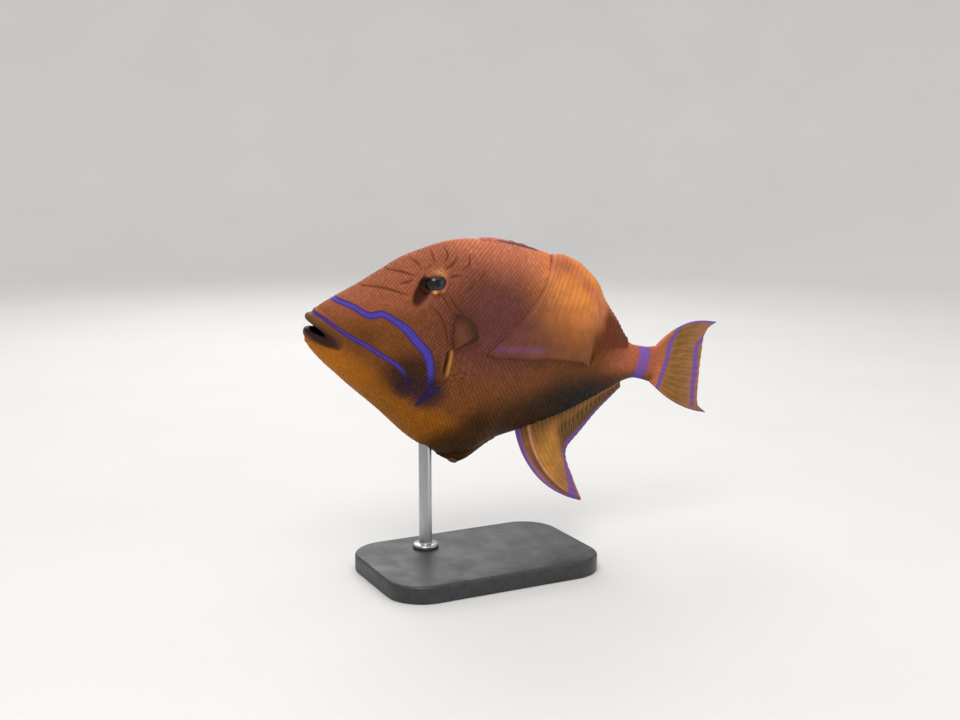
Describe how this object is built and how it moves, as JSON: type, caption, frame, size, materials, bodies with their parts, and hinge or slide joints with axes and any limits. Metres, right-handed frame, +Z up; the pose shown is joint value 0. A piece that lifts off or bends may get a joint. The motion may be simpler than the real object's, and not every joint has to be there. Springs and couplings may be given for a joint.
{
  "type": "queen triggerfish",
  "caption": "Life-size still model of a deep-bodied reef fish in mid swim, with its back fin swung over to its left, held on a plain flat stand by a rod.",
  "frame": {"origin": "centre of the stand's underside, on the floor", "axes": "+Z up, -X the way the fish faces, -Y on the fish's left side"},
  "size_m": [0.3228, 0.104, 0.2311],
  "materials": {
    "skin": "orange and purple-brown scaled skin, gold below, with violet-blue face bands, satin",
    "fin": "thin olive-yellow fin membrane over rays, with violet bands near the edge, satin",
    "lip": "soft dark brown lip flesh, slightly moist",
    "eye": "wet clear eye, dark blue-green pupil in an amber ring",
    "spine": "rough bony spines and thin skin, pink to violet",
    "stand_paint": "plain dark satin paint",
    "stand_steel": "plain brushed rod"
  },
  "bodies": {
    "root": {"head": "skin", "trunk": "skin", "tail_stalk": "skin", "pelvic_flap": "skin", "upper_lip": "lip", "lower_lip": "lip", "eye_left": "eye", "eye_right": "eye", "first_dorsal_fin": "spine", "pelvic_spine": "spine", "second_dorsal_fin": "fin", "anal_fin": "fin", "tail_fin": "fin", "pectoral_fin_left": "fin", "pectoral_fin_right": "fin", "stand_base": "stand_paint", "stand_rod": "stand_steel"}
  },
  "joints": []
}
